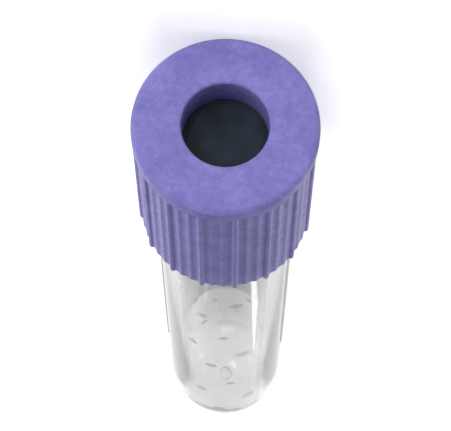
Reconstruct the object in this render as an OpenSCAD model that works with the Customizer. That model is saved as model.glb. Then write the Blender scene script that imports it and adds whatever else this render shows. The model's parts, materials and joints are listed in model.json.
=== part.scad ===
// Evacuated blood collection tube with a safety closure, lying at rest on its side.
// Two of the closure's tall ribs and the tube's round end touch the surface, so the
// tube's axis is a little higher at the closure. Every piece is drawn in the tube's own
// frame, with the mouth at z = 0 and the closure above it, and lie_down() lays it down.

/* [Tube] */
// Length of the tube from its rim to its round end
tube_len = 75; // [60:1:110]
// Outside diameter at the mouth
mouth_d = 13; // [12:0.1:16.5]
// How much narrower the straight foot is than the mouth, across
draft = 0.3; // [0.1:0.1:0.8]
// Length of the straight foot
foot_len = 10.5; // [4:0.5:16]
// Wall thickness at the mouth
mouth_wall = 1; // [0.8:0.05:1.3]
// Wall thickness of the foot and the round end
foot_wall = 1.05; // [0.8:0.05:1.5]
// Chamfer on the rim's outer edge
rim_chamfer = 0.2; // [0.1:0.05:0.3]
// Chamfer on the rim's inner edge, which leads the stopper in
lead_in = 0.35; // [0.1:0.05:0.4]
// Radius of the moulding gate's mark on the round end
gate_r = 0.8; // [0.4:0.1:1.5]
// Height of the moulding gate's mark
gate_h = 0.25; // [0.1:0.05:0.5]

/* [Stopper] */
// Height of the stopper's flange above the tube's rim
flange_h = 3.25; // [2.5:0.25:6]
// How far the flange reaches past the tube's outside
flange_lip = 0.5; // [0.3:0.05:0.8]
// Length of the plug inside the tube
plug_len = 7.5; // [6:0.25:10]
// Gap between the plug's sealing beads and the bore
seal_gap = 0.05; // [0.02:0.01:0.08]
// Depth of the waist between the sealing beads
bead_h = 0.3; // [0.15:0.05:0.6]
// Length of each sealing bead
bead_len = 1.4; // [1:0.1:2]
// Number of sealing beads
bead_count = 2; // [1:1:3]
// Chamfer on the plug's lower end and the flange's edges
stopper_chamfer = 0.4; // [0.2:0.05:0.5]
// Thickness of the plug's wall round the hollow under it
plug_wall = 2.05; // [1.5:0.05:3]
// Depth of the hollow under the plug
hollow_depth = 6; // [4:0.25:7]
// Flat margin between the cap's hole and the dish where the needle enters
dish_margin = 0.6; // [0.2:0.1:1.5]
// Depth of that dish
dish_depth = 0.7; // [0.3:0.1:1.2]

/* [Cap] */
// Thickness of the wall round the stopper's flange, without the ribs
cap_wall = 0.8; // [0.6:0.05:2]
// Length of the skirt below the tube's rim
skirt_len = 14.5; // [10:0.5:18]
// Depth of the recess from the cap's top to the stopper
recess_depth = 3.75; // [2:0.25:5]
// Radius of the hole in the cap's top
hole_r = 3.85; // [3.6:0.05:4.5]
// Thickness of the collar that holds the stopper down
collar_wall = 1.2; // [0.8:0.1:1.6]
// Thickness of the cap's top
top_wall = 1.5; // [1:0.1:1.9]
// Gap between the skirt and the tube
skirt_gap = 0.15; // [0.1:0.01:0.3]
// Gap around the stopper's flange
flange_gap = 0.1; // [0.05:0.01:0.2]
// Height of the smooth shoulder above the ribs
shoulder_h = 1.8; // [1.2:0.1:3]
// How far the shoulder stands out past the ribs
shoulder_step = 0.05; // [0.03:0.01:0.15]
// Radius of the shoulder's rounded edge
edge_r = 0.6; // [0.3:0.05:0.9]
// Chamfer on the hole's edge and inside the skirt's end
mouth_chamfer = 0.3; // [0.1:0.05:0.5]

/* [Grip ribs] */
// Number of tall ribs round the cap
rib_count = 16; // [14:1:24]
// Number of low ribs between two tall ones
low_ribs = 2; // [0:1:2]
// Radius of each half-round rib
rib_r = 0.3; // [0.3:0.05:0.4]
// Gap between the low ribs and a surface that the tall ones touch
low_rib_gap = 0.05; // [0.04:0.01:0.07]

/* [Label] */
// Bare tube between the cap and the label
bare_len = 6.5; // [3:0.5:12]
// Bare tube between the label and the straight foot
label_margin = 1.5; // [0.5:0.5:6]
// How far the label wraps round the tube, in degrees
label_wrap = 200; // [180:5:330]
// Thickness of the label
label_t = 0.1; // [0.06:0.01:0.12]
// Thickness of the glue under the label
glue_t = 0.02; // [0.01:0.01:0.04]

/* [Dried additive] */
// Number of dried drops on the wall
drop_count = 54; // [10:1:80]
// Width of the widest drop
drop_w = 1.3; // [0.6:0.1:1.6]
// Height of a drop above the wall
drop_h = 0.12; // [0.06:0.02:0.2]
// Bare wall between the stopper and the highest drop
drop_clear = 14; // [4:1:20]

/* [Hidden] */
$fn = 96;
eps = 0.01;

// Tube
mouth_r = mouth_d / 2;
foot_r = (mouth_d - draft) / 2;
bore_r = mouth_r - mouth_wall;
foot_bore_r = foot_r - foot_wall;
end_z = -(tube_len - foot_r);
foot_z = end_z + foot_len;
neck_margin = 2;
neck_z = -skirt_len - neck_margin;

// Stopper
flange_r = mouth_r + flange_lip;
bead_r = bore_r - seal_gap;
waist_r = bead_r - bead_h;
hollow_r = waist_r - plug_wall;
dish_r = hole_r - dish_margin;
bead_pitch = (plug_len - stopper_chamfer - bead_len / 2) / bead_count;
dome_z = -plug_len + hollow_depth - hollow_r;

// Cap
skirt_r = mouth_r + skirt_gap;
pocket_r = flange_r + flange_gap;
core_r = pocket_r + cap_wall;
cap_r = core_r + rib_r + shoulder_step;
cap_top = flange_h + recess_depth;
shoulder_z = cap_top - shoulder_h;

// Label
label_top = -skirt_len - bare_len;
label_end = foot_z + label_margin;

// Drops, whose flat feet touch the curved wall at their edges
drops_top = -plug_len - drop_clear;
golden_angle = 137.508;
smallest_drop = 0.45;
drop_seat_gap = 0.005;

// Rest: the axis is tilted until two tall ribs and the round end touch z = 0
rib_step = 360 / rib_count;
rest_r = core_r * cos(rib_step / 2) + rib_r;
reach = -skirt_len - end_z;
lie_tilt = acos(foot_r / norm([rest_r, reach])) - atan2(reach, rest_r);
mouth_height = foot_r - end_z * sin(lie_tilt);
front_y = -(cap_r - edge_r) * sin(lie_tilt) - (cap_top - edge_r) * cos(lie_tilt) - edge_r;
back_y = gate_r * sin(lie_tilt) + (tube_len + gate_h) * cos(lie_tilt);

// Outside radius of the tube at height z, between the neck and the foot
function tube_r(z) = foot_r + (mouth_r - foot_r) * (z - foot_z) / (neck_z - foot_z);

// Radius of the bore at height z, below the plug
function bore_r_at(z) =
    foot_bore_r + (bore_r - foot_bore_r) * (z - end_z) / (-plug_len - end_z);

// Lays the upright tube down along Y, centred over the origin
module lie_down() {
    translate([0, -(front_y + back_y) / 2, mouth_height])
        rotate([90 - lie_tilt, 0, 0])
            children();
}

// A ring with a chamfered upper and lower edge, from z = 0 up
module chamfered_disc(r, h, chamfer) {
    rotate_extrude()
        polygon([
            [0, 0], [r - chamfer, 0], [r, chamfer],
            [r, h - chamfer], [r - chamfer, h], [0, h]
        ]);
}

// Lower half of a ball at the origin
module half_ball(r) {
    intersection() {
        sphere(r);
        translate([-r - 1, -r - 1, -r - 1])
            cube([2 * r + 2, 2 * r + 2, r + 1]);
    }
}

// The space inside the tube
module bore() {
    rotate_extrude()
        polygon([
            [0, end_z], [foot_bore_r, end_z], [bore_r, -plug_len],
            [bore_r, -lead_in], [bore_r + lead_in + eps, eps], [0, eps]
        ]);
    translate([0, 0, end_z])
        half_ball(foot_bore_r);
}

module tube() {
    color([0.86, 0.89, 0.91, 0.4])
        lie_down()
            difference() {
                union() {
                    rotate_extrude()
                        polygon([
                            [0, end_z], [foot_r, end_z], [foot_r, foot_z],
                            [mouth_r, neck_z], [mouth_r, -rim_chamfer],
                            [mouth_r - rim_chamfer, 0], [0, 0]
                        ]);
                    translate([0, 0, end_z])
                        half_ball(foot_r);
                    translate([0, 0, -tube_len - gate_h])
                        cylinder(h = gate_h + foot_wall / 2, r = gate_r);
                }
                bore();
            }
}

module label() {
    inner = glue_t;
    outer = glue_t + label_t;
    color([0.95, 0.95, 0.93])
        lie_down()
            rotate([0, 0, -90 - label_wrap / 2])
                rotate_extrude(angle = label_wrap)
                    polygon([
                        [tube_r(label_end) + inner, label_end],
                        [tube_r(label_end) + outer, label_end],
                        [tube_r(label_top) + outer, label_top],
                        [tube_r(label_top) + inner, label_top]
                    ]);
}

// One dried drop, low and round, standing on z = 0
module drop(r, h) {
    rotate_extrude($fn = 24)
        polygon([[0, 0], [r, 0], [r * 0.85, h * 0.6], [r * 0.5, h * 0.95], [0, h]]);
}

module additive() {
    color([0.93, 0.93, 0.9])
        lie_down()
            for (i = [0 : drop_count - 1]) {
                z = drops_top + (end_z - drops_top) * (i + 0.5) / drop_count;
                share = smallest_drop + (1 - smallest_drop) * abs(sin(i * 77));
                r = share * drop_w / 2;
                seat = sqrt(pow(bore_r_at(z - r), 2) - r * r) - drop_seat_gap;
                rotate([0, 0, i * golden_angle])
                    translate([seat, 0, z])
                        rotate([0, -90, 0])
                            drop(r, share * drop_h);
            }
}

module stopper() {
    dish_ball_r = (dish_r * dish_r + dish_depth * dish_depth) / (2 * dish_depth);
    color([0.17, 0.19, 0.18])
        lie_down()
            difference() {
                union() {
                    chamfered_disc(flange_r, flange_h, stopper_chamfer / 2);
                    translate([0, 0, -plug_len])
                        rotate_extrude()
                            polygon([
                                [0, 0], [waist_r - stopper_chamfer, 0],
                                [waist_r, stopper_chamfer],
                                [waist_r, plug_len + eps], [0, plug_len + eps]
                            ]);
                    for (i = [1 : bead_count])
                        translate([0, 0, -plug_len + i * bead_pitch])
                            bead();
                }
                translate([0, 0, flange_h + dish_ball_r - dish_depth])
                    sphere(dish_ball_r);
                translate([0, 0, -plug_len - 1])
                    cylinder(h = dome_z + plug_len + 1, r = hollow_r);
                translate([0, 0, dome_z])
                    mirror([0, 0, 1])
                        half_ball(hollow_r);
            }
}

// One sealing bead, a ring with sloping sides centred on z = 0
module bead() {
    rotate_extrude()
        polygon([
            [0, -bead_len / 2], [waist_r, -bead_len / 2],
            [bead_r, -bead_len / 2 + bead_h], [bead_r, bead_len / 2 - bead_h],
            [waist_r, bead_len / 2], [0, bead_len / 2]
        ]);
}

// Outside of the cap: a smooth shoulder with a rounded edge over a ribbed skirt
module cap_outside() {
    rotate_extrude()
        union() {
            polygon([
                [0, -skirt_len], [core_r, -skirt_len],
                [core_r, shoulder_z - rib_r - shoulder_step], [cap_r, shoulder_z],
                [cap_r, cap_top - edge_r], [cap_r - edge_r, cap_top - edge_r],
                [cap_r - edge_r, cap_top], [0, cap_top]
            ]);
            translate([cap_r - edge_r, cap_top - edge_r])
                intersection() {
                    circle(edge_r);
                    square(edge_r);
                }
        }
    for (i = [0 : rib_count - 1])
        rotate([0, 0, -90 + (i + 0.5) * rib_step]) {
            rib(core_r);
            for (k = [1 : 1 : low_ribs])
                rotate([0, 0, k * rib_step / (low_ribs + 1)])
                    rib(rest_r - low_rib_gap - rib_r);
        }
}

// One rib along the cap, with its middle at radius r
module rib(r) {
    translate([r, 0, -skirt_len])
        cylinder(h = skirt_len + shoulder_z + shoulder_step, r = rib_r, $fn = 24);
}

module cap() {
    color([0.46, 0.41, 0.76])
        lie_down()
            difference() {
                cap_outside();
                // Hole and recess over the stopper, and the skirt's bore
                rotate_extrude()
                    polygon([
                        [0, -skirt_len - 1], [skirt_r + mouth_chamfer, -skirt_len - 1],
                        [skirt_r + mouth_chamfer, -skirt_len],
                        [skirt_r, -skirt_len + mouth_chamfer],
                        [skirt_r, 0], [pocket_r, 0], [pocket_r, cap_top - top_wall],
                        [hole_r + collar_wall, cap_top - top_wall],
                        [hole_r + collar_wall, flange_h], [hole_r, flange_h],
                        [hole_r, cap_top - mouth_chamfer],
                        [hole_r + mouth_chamfer, cap_top], [hole_r + mouth_chamfer, cap_top + 1],
                        [0, cap_top + 1]
                    ]);
            }
}

tube();
label();
additive();
stopper();
cap();
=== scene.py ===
"""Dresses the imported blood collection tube: a satin ribbed cap, a rubber stopper, a clear
tube, a wrap-round label and dried drops, lying on a white studio floor.

Lengths are in metres. Every piece is built upright in the tube's own frame, with the
mouth at z = 0 and the closure above it, and its mesh is then laid down with the CAD.
"""
import json
import math

import bmesh
import bpy
from mathutils import Matrix, Vector, noise


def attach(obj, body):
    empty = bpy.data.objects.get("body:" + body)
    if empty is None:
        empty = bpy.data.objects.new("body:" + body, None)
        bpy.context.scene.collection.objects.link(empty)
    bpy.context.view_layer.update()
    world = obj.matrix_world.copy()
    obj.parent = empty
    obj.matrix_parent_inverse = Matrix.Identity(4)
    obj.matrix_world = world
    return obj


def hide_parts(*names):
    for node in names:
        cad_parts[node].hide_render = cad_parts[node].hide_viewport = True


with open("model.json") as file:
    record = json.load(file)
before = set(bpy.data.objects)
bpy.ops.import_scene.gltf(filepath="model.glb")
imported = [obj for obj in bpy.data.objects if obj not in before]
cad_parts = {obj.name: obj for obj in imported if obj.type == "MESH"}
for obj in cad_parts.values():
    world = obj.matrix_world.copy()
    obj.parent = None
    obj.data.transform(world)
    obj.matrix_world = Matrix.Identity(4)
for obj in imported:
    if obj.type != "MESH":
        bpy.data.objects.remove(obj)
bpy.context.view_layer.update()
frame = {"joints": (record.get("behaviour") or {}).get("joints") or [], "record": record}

MM = 0.001

# Tube
TUBE_LEN = 75 * MM
MOUTH_R = 6.5 * MM
FOOT_R = 6.35 * MM
FOOT_LEN = 10.5 * MM
NECK_DROP = 2 * MM
BORE_R = 5.5 * MM
FOOT_BORE_R = 5.3 * MM
RIM_ROUND = 0.2 * MM
LEAD_IN = 0.35 * MM
LEAD_IN_ROUND = 0.1 * MM
GATE_R = 0.8 * MM
GATE_H = 0.25 * MM
GATE_ROUND = 0.1 * MM
GATE_GAP_DEGREES = 1

# Stopper
FLANGE_R = 7.0 * MM
FLANGE_H = 3.25 * MM
FLANGE_ROUND = 0.2 * MM
PLUG_LEN = 7.5 * MM
PLUG_ROUND = 0.4 * MM
WAIST_R = 5.15 * MM
BEAD_R = 5.45 * MM
BEAD_LEN = 1.4 * MM
BEAD_ROUND = 0.12 * MM
BEAD_COUNT = 2
HOLLOW_R = 3.1 * MM
HOLLOW_DEPTH = 6 * MM
HOLLOW_ROUND = 0.3 * MM
DISH_R = 3.25 * MM
DISH_DEPTH = 0.7 * MM
DISH_EDGE = 0.1 * MM

# Cap
CAP_TOP = 7 * MM
SKIRT_LEN = 14.5 * MM
CORE_R = 7.9 * MM
CAP_R = 8.25 * MM
EDGE_ROUND = 0.6 * MM
HOLE_R = 3.85 * MM
HOLE_BEVEL = 0.3 * MM
COLLAR_R = 5.05 * MM
COLLAR_ROUND = 0.1 * MM
TOP_WALL = 1.5 * MM
POCKET_R = 7.1 * MM
POCKET_ROUND = 0.15 * MM
SKIRT_BORE_R = 6.65 * MM
SKIRT_MOUTH_ROUND = 0.3 * MM
SKIRT_END_ROUND = 0.18 * MM
SKIRT_END_FLAT = 0.2 * MM
SHOULDER_H = 1.8 * MM
SHOULDER_RISE = 0.35 * MM
SHOULDER_MARGIN = 0.15 * MM
RIB_TOP_MARGIN = 0.1 * MM

# Grip ribs
TALL_RIBS = 16
LOW_RIBS = 2
RIB_R = 0.3 * MM
LOW_RIB_GAP = 0.05 * MM
RIB_BLEND = 0.16 * MM
RIB_FALL = 2

# Label
LABEL_TOP = -21 * MM
LABEL_END = -56.65 * MM
LABEL_WRAP = math.radians(200)
LABEL_CORNER = 1.3 * MM
LABEL_OUT = 0.12 * MM
GLUE_SINK = 0.01 * MM

# The label's print: a block near its top, and rules along it, to write on
BLOCK_FROM_TOP = 1.3 * MM
BLOCK_TO_TOP = 7.0 * MM
BLOCK_HALF = 9 * MM
RULE_FROM_END = 3 * MM
RULE_TO_TOP = 10 * MM
RULE_PITCH = 4.6 * MM
RULE_W = 0.2 * MM
RULES_EACH_SIDE = 2

# Dried additive
DROP_COUNT = 54
SPECK_COUNT = 170
DROP_W = 1.3 * MM
DROP_H = 0.12 * MM
DROP_CLEAR = 14 * MM
DROP_WALL_GAP = 0.004 * MM
DROP_OUTLINE_WOBBLE = 0.16
DROP_TOP_WOBBLE = 0.25
DROPS_APART_IN_NOISE = 3.7
SMALLEST_DROP = 0.45
SMALLEST_SPECK = 0.1
SPECK_SPREAD = 0.16
GOLDEN_ANGLE = math.radians(137.508)
# A drop's rings, as (share of its radius, share of its height)
DROP_PROFILE = ((1.0, 0.0), (1.0, 0.12), (0.9, 0.5), (0.72, 0.8), (0.45, 0.95), (0.2, 1.0), (0.0, 1.0))

# Fineness of the meshes
ROUND_COLUMNS = 192
RIB_COLUMNS = 9
GAP_COLUMNS = 2
LABEL_COLUMNS = 160
LABEL_ROWS = 72
DROP_COLUMNS = 18
CORNER_STEPS = 6
TUBE_END_STEPS = 36
STOPPER_STEPS = 14
SKIRT_END_STEPS = 4
SKIRT_ROWS = 6
SHOULDER_ROWS = 10
WELD = 1e-8
SHARP_ANGLE = math.radians(38)

# Studio
FLOOR_HALF = 0.95
FLOOR_GLOW = 0.36
FLOOR_LIFT = 0.35
WORLD_LIGHT = 0.34
CEILING_LIGHT = 0.12
CEILING_HEIGHT = 0.4
LAMP_DISTANCE = 1.2

# Camera
CAMERA_OFF_AXIS = math.radians(21.5)
CAMERA_SWING = math.radians(-5)
CAMERA_DISTANCE = 0.195
CAMERA_AIM_Z = -17 * MM

# Heights worked out from the above
END_Z = -(TUBE_LEN - FOOT_R)
FOOT_Z = END_Z + FOOT_LEN
NECK_Z = -SKIRT_LEN - NECK_DROP
DOME_Z = -PLUG_LEN + HOLLOW_DEPTH - HOLLOW_R
SHOULDER_Z = CAP_TOP - SHOULDER_H
POCKET_TOP = CAP_TOP - TOP_WALL

# The tube's own frame in the world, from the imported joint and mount
port = next(m for m in frame["record"]["mounts"] if m["name"] == "needle_port")
out_of_mouth = Vector(frame["joints"][0]["axis"]).normalized()
sideways = Vector((1, 0, 0))
port_mid = FLANGE_H + port["dims"]["length_mm"] * MM / 2
mouth = Vector(port["pos_m"]) - out_of_mouth * port_mid
LAID_DOWN = Matrix((sideways, out_of_mouth.cross(sideways), out_of_mouth)).transposed().to_4x4()
LAID_DOWN.translation = mouth


# ---------------------------------------------------------------- mesh helpers

def rounded(corners):
    """A profile of (radius, height) points from corners of (radius, height, rounding)."""
    points = []
    for i, (r, z, rounding) in enumerate(corners):
        corner = Vector((r, z))
        if rounding == 0:
            points.append(corner)
            continue
        back = (Vector(corners[i - 1][:2]) - corner).normalized()
        ahead = (Vector(corners[i + 1][:2]) - corner).normalized()
        half = back.angle(ahead) / 2
        centre = corner + (back + ahead).normalized() * rounding / math.sin(half)
        start = corner + back * rounding / math.tan(half) - centre
        sweep = start.angle_signed(corner + ahead * rounding / math.tan(half) - centre)
        for k in range(CORNER_STEPS + 1):
            points.append(centre + Matrix.Rotation(-sweep * k / CORNER_STEPS, 2) @ start)
    return points


def arc(centre_z, radius, start, end, steps):
    """Points on a circle about the axis, by angle from straight down, in degrees."""
    points = []
    for k in range(steps + 1):
        angle = math.radians(start + (end - start) * k / steps)
        points.append(Vector((radius * math.sin(angle), centre_z - radius * math.cos(angle))))
    return points


def ring_at(radius, height, angles):
    return [(radius * math.cos(a), radius * math.sin(a), height) for a in angles]


def join_rows(bm, low, high):
    """Faces between two rings of vertices."""
    for j in range(len(low)):
        k = (j + 1) % len(low)
        bm.faces.new((low[j], low[k], high[k], high[j]))


def add_rows(bm, rings):
    """Rings of vertices at rings of points, each joined to the next."""
    rows = [[bm.verts.new(point) for point in ring] for ring in rings]
    for low, high in zip(rows, rows[1:]):
        join_rows(bm, low, high)
    return rows


def finished(name, bm):
    """The mesh as an object, smooth but for its sharp corners, laid down with the tube."""
    bmesh.ops.recalc_face_normals(bm, faces=bm.faces)
    mesh = bpy.data.meshes.new(name)
    bm.to_mesh(mesh)
    bm.free()
    mesh.transform(LAID_DOWN)
    mesh.shade_smooth()
    mesh.set_sharp_from_angle(angle=SHARP_ANGLE)
    piece = bpy.data.objects.new(name, mesh)
    bpy.context.scene.collection.objects.link(piece)
    return piece


def welded(name, bm):
    """The finished object, with points that fall together made one."""
    bmesh.ops.remove_doubles(bm, verts=bm.verts, dist=WELD)
    return finished(name, bm)


def lathe(name, profile):
    """A solid of revolution about the tube's axis, from a profile that starts and ends on it."""
    angles = [2 * math.pi * k / ROUND_COLUMNS for k in range(ROUND_COLUMNS)]
    bm = bmesh.new()
    add_rows(bm, [ring_at(r, z, angles) for r, z in profile])
    return welded(name, bm)


# ---------------------------------------------------------------- the cap

def rib_list():
    """The ribs round the cap, as (angle, radius of the rib's middle), two tall ones lowest."""
    step = 2 * math.pi / TALL_RIBS
    tall_rest = CORE_R * math.cos(step / 2) + RIB_R
    low_middle = tall_rest - LOW_RIB_GAP - RIB_R
    ribs = []
    for i in range(TALL_RIBS):
        tall_angle = -math.pi / 2 + (i + 0.5) * step
        ribs.append((tall_angle, CORE_R))
        for k in range(1, LOW_RIBS + 1):
            ribs.append((tall_angle + k * step / (LOW_RIBS + 1), low_middle))
    return ribs


def rib_half_width(middle):
    """Half the angle that a rib takes up where it stands on the core."""
    inside = CORE_R - middle
    return math.sqrt(RIB_R ** 2 - inside ** 2) / CORE_R


def rib_surface(offset, middle):
    """Outer radius of a rib at an angle from its middle, falling away beside it."""
    side = abs(middle * math.sin(offset))
    if side < RIB_R:
        return middle * math.cos(offset) + math.sqrt(RIB_R ** 2 - side ** 2)
    return middle - RIB_FALL * (side - RIB_R)


def soft_max(a, b, blend):
    """The larger of two values, with a fillet where they meet."""
    near = max(blend - abs(a - b), 0) / blend
    return max(a, b) + near * near * blend / 4


def cap_columns():
    """Columns round the cap, close together on the ribs, as (angle, angle from its rib, rib)."""
    ribs = rib_list()
    pitch = 2 * math.pi / len(ribs)
    just_past = 1.02
    columns = []
    for angle, middle in ribs:
        half = rib_half_width(middle)
        for k in range(RIB_COLUMNS):
            turn = math.pi * (k / (RIB_COLUMNS - 1) - 0.5)
            offset = half * just_past * math.sin(turn)
            columns.append((angle + offset, offset, middle))
        for k in range(1, GAP_COLUMNS + 1):
            gap = pitch - 2 * half
            offset = half * just_past + gap * k / (GAP_COLUMNS + 1)
            columns.append((angle + offset, offset, middle))
    return columns


def shoulder_radius(z):
    """Radius of the plain outside at a height, with the slope up to the shoulder."""
    share = (z - (SHOULDER_Z - SHOULDER_RISE)) / SHOULDER_RISE
    share = min(max(share, 0), 1)
    return CORE_R + (CAP_R - CORE_R) * share * share * (3 - 2 * share)


def cap_outside_heights():
    """Heights of the rings up the cap's outside, each with how far its ring is drawn in."""
    plain_top = SHOULDER_Z - SHOULDER_RISE - SHOULDER_MARGIN
    rib_top = SHOULDER_Z + RIB_TOP_MARGIN
    heights = []
    for k in range(SKIRT_END_STEPS + 1):
        turn = math.radians(90 * k / SKIRT_END_STEPS)
        inset = SKIRT_END_ROUND * (1 - math.sin(turn))
        heights.append((-SKIRT_LEN + SKIRT_END_ROUND * (1 - math.cos(turn)), inset))
    for k in range(1, SKIRT_ROWS + 1):
        heights.append((-SKIRT_LEN + (plain_top + SKIRT_LEN) * k / SKIRT_ROWS, 0))
    for k in range(1, SHOULDER_ROWS + 1):
        heights.append((plain_top + (rib_top - plain_top) * k / SHOULDER_ROWS, 0))
    return heights


def cap_outside_rings(columns):
    """Rings up the cap's ribbed outside, from its rounded lower end to its shoulder."""
    rings = []
    for z, inset in cap_outside_heights():
        ring = []
        for angle, offset, middle in columns:
            r = soft_max(shoulder_radius(z), rib_surface(offset, middle), RIB_BLEND) - inset
            r = min(r, CAP_R)
            ring.append((r * math.cos(angle), r * math.sin(angle), z))
        rings.append(ring)
    return rings


def make_cap():
    """The ribbed outside, then over the ring, down the hole and through the pocket and skirt."""
    columns = cap_columns()
    angles = [column[0] for column in columns]
    over_and_through = rounded([
        (CAP_R, SHOULDER_Z + SHOULDER_MARGIN, 0),
        (CAP_R, CAP_TOP, EDGE_ROUND),
        (HOLE_R, CAP_TOP, HOLE_BEVEL),
        (HOLE_R, FLANGE_H, COLLAR_ROUND),
        (COLLAR_R, FLANGE_H, COLLAR_ROUND),
        (COLLAR_R, POCKET_TOP, COLLAR_ROUND),
        (POCKET_R, POCKET_TOP, POCKET_ROUND),
        (POCKET_R, 0, 0),
        (SKIRT_BORE_R, 0, 0),
        (SKIRT_BORE_R, -SKIRT_LEN, SKIRT_MOUTH_ROUND),
        (CORE_R - SKIRT_END_FLAT, -SKIRT_LEN, 0),
    ])
    rings = cap_outside_rings(columns)
    rings += [ring_at(r, z, angles) for r, z in over_and_through]
    bm = bmesh.new()
    rows = add_rows(bm, rings)
    join_rows(bm, rows[-1], rows[0])
    return welded("cap_shell", bm)


# ---------------------------------------------------------------- stopper and tube

def bead_corners():
    """Corners of the sealing beads, from the flange down."""
    pitch = (PLUG_LEN - PLUG_ROUND - BEAD_LEN / 2) / BEAD_COUNT
    slope = BEAD_R - WAIST_R
    half = BEAD_LEN / 2
    corners = []
    for i in range(BEAD_COUNT, 0, -1):
        z = -PLUG_LEN + i * pitch
        corners += [
            (WAIST_R, z + half, BEAD_ROUND),
            (BEAD_R, z + half - slope, BEAD_ROUND),
            (BEAD_R, z - half + slope, BEAD_ROUND),
            (WAIST_R, z - half, BEAD_ROUND),
        ]
    return corners


def make_stopper():
    """From the dish that a needle enters, round the flange and plug, into the hollow."""
    dish_ball = (DISH_R ** 2 + DISH_DEPTH ** 2) / (2 * DISH_DEPTH)
    dish_half = math.degrees(math.asin(DISH_R / dish_ball))
    profile = arc(FLANGE_H - DISH_DEPTH + dish_ball, dish_ball, 0, dish_half, STOPPER_STEPS)
    profile += rounded([
        (DISH_R + DISH_EDGE, FLANGE_H, 0),
        (FLANGE_R, FLANGE_H, FLANGE_ROUND),
        (FLANGE_R, 0, FLANGE_ROUND),
        (WAIST_R, 0, FLANGE_ROUND),
        *bead_corners(),
        (WAIST_R, -PLUG_LEN, PLUG_ROUND),
        (HOLLOW_R, -PLUG_LEN, HOLLOW_ROUND),
        (HOLLOW_R, DOME_Z, 0),
    ])
    profile += arc(DOME_Z, HOLLOW_R, 90, 180, STOPPER_STEPS)[1:]
    return lathe("stopper_plug", profile)


def make_tube():
    """From the gate mark up the outside, over the rim, and down the bore to its round end."""
    gate_side = math.degrees(math.asin(GATE_R / FOOT_R))
    profile = rounded([
        (0, -TUBE_LEN - GATE_H, 0),
        (GATE_R, -TUBE_LEN - GATE_H, GATE_ROUND),
        (GATE_R, END_Z - FOOT_R * math.cos(math.radians(gate_side)), 0),
    ])
    profile += arc(END_Z, FOOT_R, gate_side + GATE_GAP_DEGREES, 90, TUBE_END_STEPS)
    profile += rounded([
        (FOOT_R, FOOT_Z, 0),
        (MOUTH_R, NECK_Z, 0),
        (MOUTH_R, 0, RIM_ROUND),
        (BORE_R + LEAD_IN, 0, 0),
        (BORE_R, -LEAD_IN, LEAD_IN_ROUND),
        (BORE_R, -PLUG_LEN, 0),
    ])
    profile += arc(END_Z, FOOT_BORE_R, 90, 0, TUBE_END_STEPS)
    return lathe("tube_wall", profile)


def outside_radius(z):
    """The tube's outside radius at a height between its neck and its foot."""
    return FOOT_R + (MOUTH_R - FOOT_R) * (z - FOOT_Z) / (NECK_Z - FOOT_Z)


def bore_radius(z):
    """The bore's radius at a height below the plug."""
    return FOOT_BORE_R + (BORE_R - FOOT_BORE_R) * (z - END_Z) / (-PLUG_LEN - END_Z)


# ---------------------------------------------------------------- label

def make_label():
    """A thin film wrapped round the tube's lower side, with rounded corners."""
    length = LABEL_TOP - LABEL_END
    outer, inner, places = [], [], []
    for i in range(LABEL_ROWS + 1):
        # Rows are closer together near the ends, where the corners turn
        along = 0.5 - 0.5 * math.cos(math.pi * i / LABEL_ROWS)
        z = LABEL_END + length * along
        from_end = max(min(z - LABEL_END, LABEL_TOP - z, LABEL_CORNER), 0)
        fall = LABEL_CORNER - from_end
        corner_cut = LABEL_CORNER - math.sqrt(LABEL_CORNER ** 2 - fall ** 2)
        radius = outside_radius(z)
        half = LABEL_WRAP / 2 - corner_cut / radius
        turns = [half * (2 * j / LABEL_COLUMNS - 1) for j in range(LABEL_COLUMNS + 1)]
        angles = [turn - math.pi / 2 for turn in turns]
        inner.append(ring_at(radius - GLUE_SINK, z, angles))
        outer.append(ring_at(radius + LABEL_OUT, z, angles))
        places.append([(turn * MOUTH_R, z) for turn in turns])
    return film("label_film", outer, inner, places)


def film(name, outer, inner, places):
    """A closed thin sheet between two skins. Its UV map holds each outer point's place in
    metres, and the same a metre along on the inner skin, where nothing is printed."""
    bm = bmesh.new()
    layer = bm.loops.layers.uv.new("place")
    rows, columns = len(outer), len(outer[0])
    tops = [[bm.verts.new(point) for point in row] for row in outer]
    bottoms = [[bm.verts.new(point) for point in row] for row in inner]
    place_of = {}
    for i in range(rows):
        for j in range(columns):
            across, along = places[i][j]
            place_of[tops[i][j]] = (across, along)
            place_of[bottoms[i][j]] = (across, along + 1)
    for i in range(rows - 1):
        for j in range(columns - 1):
            cells = ((i, j), (i, j + 1), (i + 1, j + 1), (i + 1, j))
            bm.faces.new([tops[a][b] for a, b in cells])
            bm.faces.new([bottoms[a][b] for a, b in reversed(cells)])
    edge = [(0, j) for j in range(columns)]
    edge += [(i, columns - 1) for i in range(1, rows)]
    edge += [(rows - 1, j) for j in range(columns - 2, -1, -1)]
    edge += [(i, 0) for i in range(rows - 2, 0, -1)]
    for k, (i, j) in enumerate(edge):
        m, n = edge[(k + 1) % len(edge)]
        bm.faces.new((tops[m][n], tops[i][j], bottoms[i][j], bottoms[m][n]))
    for face in bm.faces:
        for loop in face.loops:
            loop[layer].uv = place_of[loop.vert]
    return finished(name, bm)


# ---------------------------------------------------------------- dried additive

def scatter(count, smallest, spread, size_turn, start, stride):
    """Spots down the bore's wall, as (angle, height, radius, thickness). Their sizes are
    shares of the largest drop."""
    top = -PLUG_LEN - DROP_CLEAR
    spots = []
    for i in range(count):
        angle = start + i * GOLDEN_ANGLE * stride
        z = top + (END_Z - top) * (i + 0.5) / count
        share = smallest + spread * abs(math.sin(math.radians(i * size_turn)))
        spots.append((angle, z, share * DROP_W / 2, share * DROP_H))
    return spots


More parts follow.
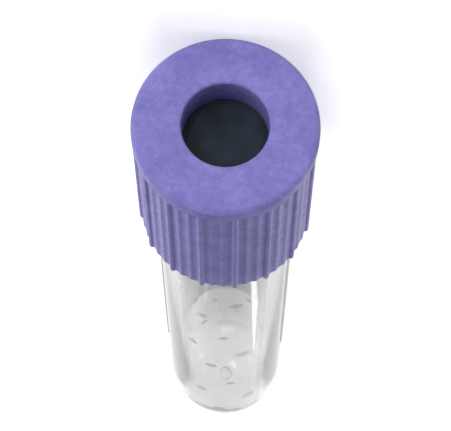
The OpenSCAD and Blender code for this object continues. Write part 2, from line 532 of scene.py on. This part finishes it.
def drop_rings(angle, z, radius, thickness, seed):
    """Rings of one low, uneven drop on the bore's wall, from its foot to its middle."""
    rings = []
    for share, rise in DROP_PROFILE:
        ring = []
        for k in range(DROP_COLUMNS):
            turn = 2 * math.pi * k / DROP_COLUMNS
            wobble = noise.noise(Vector((math.cos(turn), math.sin(turn), seed * DROPS_APART_IN_NOISE)))
            reach = radius * share * (1 + DROP_OUTLINE_WOBBLE * wobble)
            up = z + reach * math.sin(turn)
            wall = bore_radius(up) - DROP_WALL_GAP
            r = wall - thickness * rise * (1 + DROP_TOP_WOBBLE * wobble * share)
            a = angle + reach * math.cos(turn) / wall
            ring.append((r * math.cos(a), r * math.sin(a), up))
        rings.append(ring)
    return rings


def make_additive():
    """All the drops, and the finer specks between them, as one piece."""
    spots = scatter(DROP_COUNT, SMALLEST_DROP, 1 - SMALLEST_DROP, size_turn=77, start=0, stride=1)
    spots += scatter(SPECK_COUNT, SMALLEST_SPECK, SPECK_SPREAD, size_turn=53, start=0.9, stride=1.618)
    bm = bmesh.new()
    for seed, spot in enumerate(spots):
        rows = add_rows(bm, drop_rings(*spot, seed))
        bm.faces.new(rows[0])
    return welded("dried_drops", bm)


# ---------------------------------------------------------------- materials

class Nodes:
    """Short names for the shader nodes that the materials and the world below use."""

    def __init__(self, owner):
        owner.use_nodes = True
        self.tree = owner.node_tree

    def new(self, kind, **values):
        node = self.tree.nodes.new(kind)
        for key, value in values.items():
            setattr(node, key, value)
        return node

    def link(self, source, target):
        self.tree.links.new(source, target)

    def fill(self, target, value):
        """Links a socket to another, or sets its value."""
        if isinstance(value, bpy.types.NodeSocket):
            self.link(value, target)
        else:
            target.default_value = value

    def ranged(self, source, low, high, from_low=0.3, from_high=0.7):
        """A value spread over low to high. What it is spread from is what noise mostly spans."""
        node = self.new("ShaderNodeMapRange")
        node.inputs["From Min"].default_value = from_low
        node.inputs["From Max"].default_value = from_high
        self.fill(node.inputs["To Min"], low)
        self.fill(node.inputs["To Max"], high)
        self.link(source, node.inputs["Value"])
        return node.outputs["Result"]

    def math(self, operation, first, second):
        node = self.new("ShaderNodeMath", operation=operation)
        self.fill(node.inputs[0], first)
        self.fill(node.inputs[1], second)
        return node.outputs["Value"]


class Surface(Nodes):
    """A material whose textures stand upright with the tube."""

    def __init__(self, name):
        self.material = bpy.data.materials.new(name)
        super().__init__(self.material)
        self.shader = self.tree.nodes["Principled BSDF"]
        self.output = self.tree.nodes["Material Output"]
        upright = self.new("ShaderNodeMapping")
        upright.inputs["Rotation"].default_value = LAID_DOWN.inverted().to_euler()
        self.link(self.new("ShaderNodeTexCoord").outputs["Object"], upright.inputs["Vector"])
        self.place = upright.outputs["Vector"]

    def stretched(self, x, y, z):
        mapping = self.new("ShaderNodeMapping")
        mapping.inputs["Scale"].default_value = (x, y, z)
        self.link(self.place, mapping.inputs["Vector"])
        return mapping.outputs["Vector"]

    def noise(self, size, detail=3, roughness=0.5, place=None):
        """Noise from 0 to 1 with features of about this size, in metres."""
        node = self.new("ShaderNodeTexNoise")
        node.inputs["Scale"].default_value = 1 / size
        node.inputs["Detail"].default_value = detail
        node.inputs["Roughness"].default_value = roughness
        self.link(place or self.place, node.inputs["Vector"])
        return node.outputs["Fac"]

    def mixed(self, factor, first, second):
        """A mix of two colours, each a socket or a value."""
        node = self.new("ShaderNodeMix", data_type="RGBA")
        self.link(factor, node.inputs["Factor"])
        for name, colour in (("A", first), ("B", second)):
            socket = next(s for s in node.inputs if s.name == name and s.type == "RGBA")
            self.fill(socket, (*colour, 1) if isinstance(colour, tuple) else colour)
        return next(s for s in node.outputs if s.type == "RGBA")

    def bump(self, height, strength, distance, under=None):
        node = self.new("ShaderNodeBump")
        node.inputs["Strength"].default_value = strength
        node.inputs["Distance"].default_value = distance
        self.link(height, node.inputs["Height"])
        if under:
            self.link(under, node.inputs["Normal"])
        return node.outputs["Normal"]

    def set(self, **values):
        """Constant values, on the shader's own sockets."""
        for name, value in values.items():
            self.shader.inputs[name.replace("_", " ")].default_value = value

    def feed(self, name, source):
        self.link(source, self.shader.inputs[name])

    def show(self, shader):
        self.link(shader, self.output.inputs["Surface"])


def cap_plastic():
    """Satin moulded polyethylene, faintly mottled, with a fine grain."""
    n = Surface("cap_plastic")
    cloud = n.ranged(n.noise(2.6 * MM, detail=4), 0, 1)
    body = n.mixed(cloud, (0.163, 0.146, 0.425), (0.220, 0.203, 0.510))
    patch = n.ranged(n.noise(0.7 * MM, detail=4, roughness=0.6), 0, 1, from_low=0.41, from_high=0.61)
    body = n.mixed(n.math("MULTIPLY", patch, 0.38), body, (0.118, 0.104, 0.350))
    fleck = n.ranged(n.noise(0.28 * MM, detail=2), 0, 1, from_low=0.56, from_high=0.72)
    n.feed("Base Color", n.mixed(n.math("MULTIPLY", fleck, 0.22), body, (0.36, 0.34, 0.63)))
    n.feed("Roughness", n.ranged(n.noise(0.9 * MM), 0.40, 0.54))
    grain = n.bump(n.noise(0.16 * MM), strength=0.16, distance=0.02 * MM)
    waves = n.noise(3.2 * MM, detail=2)
    n.feed("Normal", n.bump(waves, strength=0.3, distance=0.05 * MM, under=grain))
    n.set(IOR=1.5, Specular_IOR_Level=0.3)
    return n.material


def stopper_rubber():
    """Dark blue-grey butyl rubber with a dusty, slightly uneven skin."""
    n = Surface("stopper_rubber")
    cloud = n.ranged(n.noise(1.4 * MM, detail=4), 0, 1)
    n.feed("Base Color", n.mixed(cloud, (0.009, 0.014, 0.021), (0.019, 0.027, 0.037)))
    n.feed("Roughness", n.ranged(n.noise(0.7 * MM), 0.52, 0.7))
    n.feed("Normal", n.bump(n.noise(0.2 * MM), strength=0.2, distance=0.02 * MM))
    n.set(IOR=1.5, Specular_IOR_Level=0.28)
    return n.material


def clear_plastic():
    """Clear moulded plastic with faint flow lines along its length, greyed through by painted shade.
    """
    n = Surface("clear_plastic")
    haze = n.noise(6 * MM)
    n.feed("Base Color", n.mixed(n.ranged(haze, 0, 1), (0.97, 0.975, 0.975), (0.995, 0.995, 0.995)))
    n.feed("Roughness", n.ranged(haze, 0.01, 0.03))
    lines = n.noise(0.9 * MM, place=n.stretched(1, 1, 0.03))
    n.feed("Normal", n.bump(lines, strength=0.07, distance=0.05 * MM))
    n.set(Transmission_Weight=1.0, IOR=1.5)
    lamps_through(n, (0.99, 0.99, 0.99))
    # Grey absorption through the wall: painted shade that darkens the clear tube as if it stood in
    # shade, and keeps its edges showing against the white floor
    painted_shade_grey = n.new("ShaderNodeVolumeAbsorption")
    painted_shade_grey.inputs["Color"].default_value = (0.50, 0.505, 0.51, 1)
    painted_shade_grey.inputs["Density"].default_value = 230
    n.link(painted_shade_grey.outputs["Volume"], n.output.inputs["Volume"])
    return n.material


def lamps_through(n, tint):
    """Lets the light of the room through a clear wall, each surface taking a little of it."""
    open_way = n.new("ShaderNodeBsdfTransparent")
    open_way.inputs["Color"].default_value = (*tint, 1)
    path = n.new("ShaderNodeLightPath").outputs
    surface = n.shader.outputs[0]
    for ray in ("Is Shadow Ray", "Is Diffuse Ray"):
        both = n.new("ShaderNodeMixShader")
        n.link(path[ray], both.inputs[0])
        n.link(surface, both.inputs[1])
        n.link(open_way.outputs[0], both.inputs[2])
        surface = both.outputs[0]
    n.show(surface)


def label_film():
    """White satin film with a purple block and plain write-in rules."""
    n = Surface("label_film")
    split = n.new("ShaderNodeSeparateXYZ")
    n.link(n.new("ShaderNodeUVMap", uv_map="place").outputs["UV"], split.inputs["Vector"])
    across, along = split.outputs["X"], split.outputs["Y"]

    def between(source, low, high):
        above = n.math("GREATER_THAN", source, low)
        return n.math("MULTIPLY", above, n.math("LESS_THAN", source, high))

    fibre = n.noise(0.5 * MM)
    paper = n.mixed(n.ranged(fibre, 0, 1), (0.86, 0.86, 0.85), (0.91, 0.91, 0.90))
    block_length = between(along, LABEL_TOP - BLOCK_TO_TOP, LABEL_TOP - BLOCK_FROM_TOP)
    block = n.math("MULTIPLY", block_length, between(across, -BLOCK_HALF, BLOCK_HALF))
    colour = n.mixed(block, paper, (0.200, 0.175, 0.500))
    rule_length = between(along, LABEL_END + RULE_FROM_END, LABEL_TOP - RULE_TO_TOP)
    for k in range(-RULES_EACH_SIDE, RULES_EACH_SIDE + 1):
        rule_at = k * RULE_PITCH
        rule = n.math("MULTIPLY", between(across, rule_at, rule_at + RULE_W), rule_length)
        colour = n.mixed(rule, colour, (0.22, 0.22, 0.25))
    n.feed("Base Color", colour)
    n.feed("Roughness", n.ranged(fibre, 0.38, 0.5))
    n.feed("Normal", n.bump(n.noise(0.25 * MM), strength=0.1, distance=0.02 * MM))
    n.set(IOR=1.45)
    return n.material


def dried_salt():
    """Chalky white dried drops, thinner and greyer in places."""
    n = Surface("dried_salt")
    cloud = n.ranged(n.noise(0.35 * MM, detail=4), 0, 1)
    n.feed("Base Color", n.mixed(cloud, (0.86, 0.87, 0.86), (0.95, 0.95, 0.94)))
    n.feed("Roughness", n.ranged(n.noise(0.2 * MM, detail=2), 0.45, 0.7))
    n.feed("Normal", n.bump(n.noise(0.12 * MM), strength=0.35, distance=0.03 * MM))
    n.set(Transmission_Weight=0.6, IOR=1.06)
    return n.material


# ---------------------------------------------------------------- the pieces

def dress(piece, body, node, material):
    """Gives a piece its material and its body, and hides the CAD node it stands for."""
    piece.data.materials.append(material)
    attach(piece, body)
    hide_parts(node)


dress(make_tube(), "tube_assembly", "tube", clear_plastic())
dress(make_label(), "tube_assembly", "label", label_film())
dress(make_additive(), "tube_assembly", "additive", dried_salt())
dress(make_stopper(), "closure", "stopper", stopper_rubber())
dress(make_cap(), "closure", "cap", cap_plastic())


# ---------------------------------------------------------------- studio

def seen_directly(n):
    """1 for rays that show the background to the eye, in a mirror or through glass."""
    path = n.new("ShaderNodeLightPath").outputs
    seen = n.math("MAXIMUM", path["Is Camera Ray"], path["Is Glossy Ray"])
    seen = n.math("MAXIMUM", seen, path["Is Transmission Ray"])
    return n.math("MULTIPLY", seen, n.math("LESS_THAN", path["Diffuse Depth"], 0.5))


def make_floor():
    """A white floor. What sees it directly also gets a glow and a stronger share of its light."""
    half = FLOOR_HALF
    corners = [(-half, -half, 0), (half, -half, 0), (half, half, 0), (-half, half, 0)]
    mesh = bpy.data.meshes.new("studio_floor")
    mesh.from_pydata(corners, [], [(0, 1, 2, 3)])
    floor = bpy.data.objects.new("studio_floor", mesh)
    bpy.context.scene.collection.objects.link(floor)
    n = Surface("studio_floor")
    n.set(Base_Color=(0.9, 0.9, 0.9, 1), Roughness=0.9, Specular_IOR_Level=0.0)
    seen = seen_directly(n)
    glow = n.new("ShaderNodeEmission")
    n.link(n.math("MULTIPLY", seen, FLOOR_GLOW), glow.inputs["Strength"])
    lift = n.new("ShaderNodeBsdfDiffuse")
    n.link(n.math("MULTIPLY", seen, FLOOR_LIFT), lift.inputs["Color"])
    surface = n.shader.outputs[0]
    for extra in (glow, lift):
        both = n.new("ShaderNodeAddShader")
        n.link(surface, both.inputs[0])
        n.link(extra.outputs[0], both.inputs[1])
        surface = both.outputs[0]
    n.show(surface)
    mesh.materials.append(n.material)


def make_world():
    """Even light. The eye sees it white. In gloss and through glass it has a white horizon
    and a dimmer ceiling."""
    world = bpy.data.worlds.new("studio")
    bpy.context.scene.world = world
    n = Nodes(world)
    split = n.new("ShaderNodeSeparateXYZ")
    n.link(n.new("ShaderNodeTexCoord").outputs["Generated"], split.inputs["Vector"])
    ceiling = n.ranged(split.outputs["Z"], 1.0, CEILING_LIGHT, from_low=0, from_high=CEILING_HEIGHT)
    path = n.new("ShaderNodeLightPath").outputs
    strength = WORLD_LIGHT
    for ray, light in (
        ("Is Glossy Ray", ceiling),
        ("Is Transmission Ray", ceiling),
        ("Is Camera Ray", 1.0),
        ("Diffuse Depth", WORLD_LIGHT),
    ):
        strength = n.ranged(path[ray], strength, light, from_low=0, from_high=1)
    back = n.tree.nodes["Background"]
    back.inputs["Color"].default_value = (1, 1, 1, 1)
    n.link(strength, back.inputs["Strength"])


def make_lamp(name, azimuth, elevation, level, height=0.32, width=0.6, mirrored=True):
    """A wide lamp aimed at the part. level is how bright it makes a white surface facing it.
    A lamp that isn't mirrored lights the part, but doesn't show in its gloss."""
    lamp = bpy.data.lights.new(name, "AREA")
    lamp.shape = "RECTANGLE"
    lamp.size = width
    lamp.size_y = height
    lamp.energy = level * math.pi ** 2 * LAMP_DISTANCE ** 2
    rig = bpy.data.objects.new(name, lamp)
    a, e = math.radians(azimuth), math.radians(elevation)
    towards = Vector((math.sin(a) * math.cos(e), -math.cos(a) * math.cos(e), math.sin(e)))
    rig.location = towards * LAMP_DISTANCE
    rig.visible_glossy = mirrored
    rig.rotation_euler = towards.to_track_quat("Z", "Y").to_euler()
    bpy.context.scene.collection.objects.link(rig)


make_floor()
make_world()
make_lamp("key", azimuth=20, elevation=8, level=0.72, mirrored=False)
make_lamp("left", azimuth=82, elevation=8, level=0.18)
make_lamp("right", azimuth=-85, elevation=8, level=0.13)
make_lamp("back_left", azimuth=128, elevation=8, level=0.15)
make_lamp("back_right", azimuth=-128, elevation=8, level=0.15)
make_lamp("streak", azimuth=195, elevation=17, level=0.006, height=0.5, width=0.04)
make_lamp("top", azimuth=180, elevation=70, level=0.22, height=0.6)


# ---------------------------------------------------------------- camera

def make_camera():
    """Looks at the cap from near the tube's axis, with the closure up in the picture."""
    aim = LAID_DOWN @ Vector((0, 0, CAMERA_AIM_Z))
    ring = LAID_DOWN @ Vector((0, 0, CAP_TOP))
    towards = Vector((
        math.sin(CAMERA_SWING) * math.sin(CAMERA_OFF_AXIS),
        math.cos(CAMERA_SWING) * math.sin(CAMERA_OFF_AXIS),
        math.cos(CAMERA_OFF_AXIS),
    ))
    place = ring + (LAID_DOWN.to_3x3() @ towards) * CAMERA_DISTANCE
    back = (place - aim).normalized()
    up = (out_of_mouth - back * out_of_mouth.dot(back)).normalized()
    lens = bpy.data.cameras.new("camera")
    lens.sensor_width = 36
    lens.lens = 180
    lens.clip_start = 0.005
    lens.clip_end = 20
    rig = bpy.data.objects.new("camera", lens)
    rig.matrix_world = Matrix((up.cross(back), up, back)).transposed().to_4x4()
    rig.location = place
    bpy.context.scene.collection.objects.link(rig)
    bpy.context.scene.camera = rig


make_camera()
bpy.context.scene.view_settings.view_transform = "Standard"
